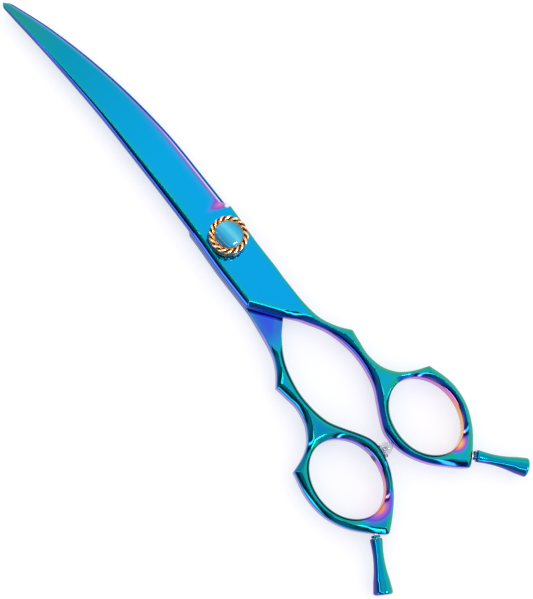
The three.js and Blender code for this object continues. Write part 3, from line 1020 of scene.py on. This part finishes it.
def edge_film(y, depth):
    """Film shift beside the cutting edge, at a depth from it, and the fan at the heel of the grinding."""
    past = np.maximum(0.0, depth - land_width(along_blade(y)))
    fade = 1 - 0.62 * smoothstep(25, 60, y)
    line = 0.66 * np.exp(-past / 0.65) * smoothstep(7.9, 9.2, y) * fade
    fan = 0.5 * np.exp(-((y - 9.1 - 0.12 * depth) / 1.1) ** 2) * (1 - smoothstep(1.5, 6.5, depth))
    fan += 0.22 * np.exp(-((depth - 1.3) / 1.6) ** 2 - ((y - 11.0) / 2.2) ** 2)
    return np.maximum(line, fan)


def film_attributes(obj, is_front, tags):
    """Vertex values for the coated material: film shift, bare steel, plain inner face, green rim."""
    mesh = obj.data
    co = np.empty(len(mesh.vertices) * 3)
    mesh.vertices.foreach_get("co", co)
    x, y = co.reshape(-1, 3)[:, :2].T * 1000.0
    rim, strip, from_spine = tags.T
    side = 1 if is_front else -1
    depth = (blade_edges(y, is_front)[1] - x) * side
    film = np.where(y > SEAM_Y + 0.5, edge_film(y, depth) * is_front, hole_film(x, y, is_front))
    heel_spot = is_front * (np.hypot((x - 6.4) / 0.85, (y - 8.0) / 0.65) < 1)
    inner = strip == INNER_FACE
    rear_inner = inner * (not is_front)
    ride = rear_inner * (from_spine > 0.63) * (from_spine < 1.7)
    ride = ride * smoothstep(8, 10, y) * smoothstep(48, 34, y)
    honed = (inner * (depth < 0.51) + (strip == LAND) * is_front) * smoothstep(9, 11, y)
    bare = np.maximum(heel_spot, np.maximum(ride, honed))
    for name, values in (("film", film), ("bare", bare), ("deep", rear_inner), ("rim", rim)):
        point_layer(mesh, name, values)


film_attributes(front_forging, True, front[3])
film_attributes(rear_forging, False, rear[3])
set_material(front_forging, coated_material(
    "film_front",
    [(0.0, (0.42, 0.16, 0.62)), (0.25, (0.22, 0.1, 0.6)), (0.5, (0.03, 0.06, 0.5)),
     (0.78, (0.005, 0.11, 0.46)), (0.87, (0.0, 0.24, 0.36)), (0.94, (0.0, 0.38, 0.28)),
     (0.975, (0.0, 0.38, 0.52))],
    (0.0, 0.37, 0.58),
    [(0.0, AZURE), (0.25, VIOLET), (0.5, PINK), (0.7, ORANGE), (1.0, GOLD)]))
set_material(rear_forging, coated_material(
    "film_rear",
    [(0.0, (0.22, 0.16, 0.62)), (0.3, (0.04, 0.16, 0.58)), (0.5, (0.0, 0.16, 0.42)),
     (0.81, (0.0, 0.2, 0.24)), (0.9, (0.0, 0.26, 0.3)), (0.96, (0.0, 0.28, 0.46))],
    (0.0, 0.22, 0.5),
    [(0.0, AZURE), (0.3, (0.12, 0.08, 0.66)), (0.6, (0.34, 0.12, 0.6)), (0.78, PINK), (0.95, ORANGE)],
    run_out=True))
rest_film = coated_material(
    "film_rests",
    [(0.0, (0.26, 0.1, 0.46)), (0.3, (0.07, 0.04, 0.36)), (0.6, (0.01, 0.08, 0.32)),
     (0.85, (0.0, 0.19, 0.33))],
    (0.0, 0.26, 0.4),
    [(0.0, AZURE), (0.5, PINK), (1.0, GOLD)])
for piece in rests:
    set_material(piece, rest_film)


# ---- other materials
def plain_material(name, colour, metallic, roughness, **extra):
    """One colour with a fine, faint grain."""
    material, tree, shader = node_material(name, Metallic=metallic, Roughness=roughness, **extra)
    noise = tree.nodes.new("ShaderNodeTexNoise")
    noise.inputs["Scale"].default_value = 900.0
    tree.links.new(tree.nodes.new("ShaderNodeTexCoord").outputs["Object"], noise.inputs["Vector"])
    low, high = tuple(c * 0.94 for c in colour), tuple(min(1.0, c * 1.05) for c in colour)
    tree.links.new(mix(tree, noise.outputs["Fac"], low, high), shader.inputs["Base Color"])
    return material


def gem_material():
    """Fibre-optic cat's-eye with a painted sheen: a light band across the dome where the fibres catch the
    light, darker away from it.
    """
    material, tree, shader = node_material("cats_eye", Roughness=0.25, Specular_IOR_Level=0.15,
                                           Coat_Weight=1.0, Coat_IOR=1.45, Coat_Roughness=0.02)
    place = coordinates(tree, "Object")
    lean = math_node(tree, "MULTIPLY", place["Y"], 0.12)
    offset = math_node(tree, "SUBTRACT", math_node(tree, "ADD", place["X"], lean), 0.0005)
    from_band = map_range(tree, math_node(tree, "ABSOLUTE", offset), 0.0, 0.004, smooth=False)
    # painted sheen: light along the band, darker away from it
    colours = ramp(tree, from_band, [(0.0, (0.08, 0.56, 0.8)), (0.35, (0.01, 0.42, 0.68)),
                                     (0.7, (0.0, 0.28, 0.5)), (1.0, (0.0, 0.13, 0.27))], "EASE")
    tree.links.new(colours, shader.inputs["Base Color"])
    return material


def gold_rope_material():
    """Gold plate with painted light: a painted highlight on the strands' crowns and painted shade in the
    grooves between them.
    """
    material, tree, shader = node_material("gold_rope", Metallic=1.0, Roughness=0.16)
    # painted highlight at 0 on the crowns, painted shade toward 1 in the grooves
    colours = ramp(tree, attribute(tree, "painted_groove_shade"), [
        (0.0, (1.0, 0.8, 0.52)), (0.22, (0.92, 0.5, 0.18)), (0.62, (0.48, 0.16, 0.03)),
        (1.0, (0.1, 0.03, 0.01))])
    tree.links.new(colours, shader.inputs["Base Color"])
    return material


SLOT_LOOKS = {
    "gold_plate": ((0.9, 0.52, 0.2), 1.0, 0.14),
    "dark_steel": ((0.1, 0.11, 0.12), 1.0, 0.22),
    "bearing_steel": ((0.62, 0.63, 0.66), 1.0, 0.25),
    "bronze": ((0.6, 0.36, 0.14), 1.0, 0.35),
    "nylon": ((0.8, 0.78, 0.72), 0.0, 0.5),
}
by_slot = {slot: plain_material(slot, *look) for slot, look in SLOT_LOOKS.items()}
for row in frame["record"]["subparts"]:
    if row["material_slot"] in by_slot:
        set_material(frame["nodes"][row["node"]], by_slot[row["material_slot"]])
set_material(setting, by_slot["gold_plate"])
set_material(bezel, by_slot["gold_plate"])
set_material(knurled, by_slot["dark_steel"])
set_material(gold_rope, gold_rope_material())
set_material(gem, gem_material())
set_material(bumper, plain_material("clear_silicone", (0.74, 0.75, 0.8), 0.0, 0.04,
                                    Transmission_Weight=0.92, IOR=1.46))
set_material(bumper_tail, plain_material("black_rubber", (0.012, 0.012, 0.016), 0.0, 0.4))


# ---- floor, light, camera (metres)
def floor():
    mesh = bpy.data.meshes.new("floor")
    mesh.from_pydata([(-3, -3, 0), (3, -3, 0), (3, 3, 0), (-3, 3, 0)], [], [(0, 1, 2, 3)])
    obj = linked("floor", mesh)
    set_material(obj, node_material("pale_floor", Base_Color=(0.5, 0.5, 0.51), Roughness=0.9,
                                    Specular_IOR_Level=0.1, Emission_Color=(0.97, 0.955, 1.0),
                                    Emission_Strength=0.56)[0])


def grey(level, blue=None):
    return (level, level, level if blue is None else blue)


def studio_world():
    """A white tent whose dark -X side has two bright strips; only reflections see its pattern."""
    world = bpy.data.worlds.new("studio")
    bpy.context.scene.world = world
    world.use_nodes = True
    tree = world.node_tree
    background = next(n for n in tree.nodes if n.type == "BACKGROUND")
    coords = tree.nodes.new("ShaderNodeTexCoord")
    toward = tree.nodes.new("ShaderNodeVectorMath")
    toward.operation = "DOT_PRODUCT"
    tree.links.new(coords.outputs["Generated"], toward.inputs[0])
    toward.inputs[1].default_value = (-1.0, 0.0, 0.0)
    light = ramp(tree, map_range(tree, toward.outputs["Value"], -1.0, 1.0, smooth=False), [
        (0.0, (0.95, 0.97, 1.0)), (0.3, grey(1.05)), (0.58, grey(1.0)), (0.62, grey(0.85, 0.87)),
        (0.65, grey(0.05, 0.07)), (0.7, grey(0.05, 0.07)), (0.71, grey(6.5)), (0.735, grey(6.5)),
        (0.745, grey(0.08, 0.1)), (0.8, grey(0.25, 0.3)), (0.87, grey(0.55, 0.6)),
        (0.92, grey(0.3, 0.35)), (0.935, grey(0.04, 0.06)), (0.97, grey(0.04, 0.06)),
        (0.98, grey(6.0)), (0.99, grey(6.0)), (1.0, grey(1.6))])
    path = tree.nodes.new("ShaderNodeLightPath")
    tree.links.new(mix(tree, path.outputs["Is Glossy Ray"], grey(1.03), light), background.inputs[0])
    background.inputs[1].default_value = 1.0


def softbox(name, place, aim, size, watts, mirrored=False):
    """A lamp that lights matt surfaces only or, if mirrored, shows in reflections only."""
    light = bpy.data.lights.new(name, "AREA")
    light.shape = "RECTANGLE"
    light.size, light.size_y = size
    light.energy = watts
    obj = linked(name, light)
    obj.location = place
    obj.rotation_euler = (Vector(aim) - Vector(place)).to_track_quat("-Z", "Y").to_euler()
    obj.visible_glossy = mirrored
    obj.visible_diffuse = not mirrored


def camera():
    """The photograph's view: from above, leaning 18 degrees toward the rear half's ring."""
    data = bpy.data.cameras.new("camera")
    data.lens = 80.0
    data.sensor_width = 36.0
    data.clip_start = 0.01
    obj = linked("camera", data)
    eye = Vector((-0.11288, -0.06588, 0.36303 + MID))
    target = Vector((-0.00117, -0.02063, MID))
    up_hint = Vector((0.5629, 0.781, 0.2706))
    back = (eye - target).normalized()
    right = up_hint.cross(back).normalized()
    up = back.cross(right)
    obj.matrix_world = Matrix.Translation(eye) @ Matrix((right, up, back)).transposed().to_4x4()
    bpy.context.scene.camera = obj


floor()
studio_world()
softbox("key", (0.25, 0.2, 0.6), (0, -0.01, 0), (0.8, 0.8), 0.3)
softbox("window", (0.11, -0.41, 0.43), (0, 0, 0), (0.17, 0.1), 2.3, mirrored=True)
camera()
bpy.context.scene.view_settings.view_transform = "Standard"
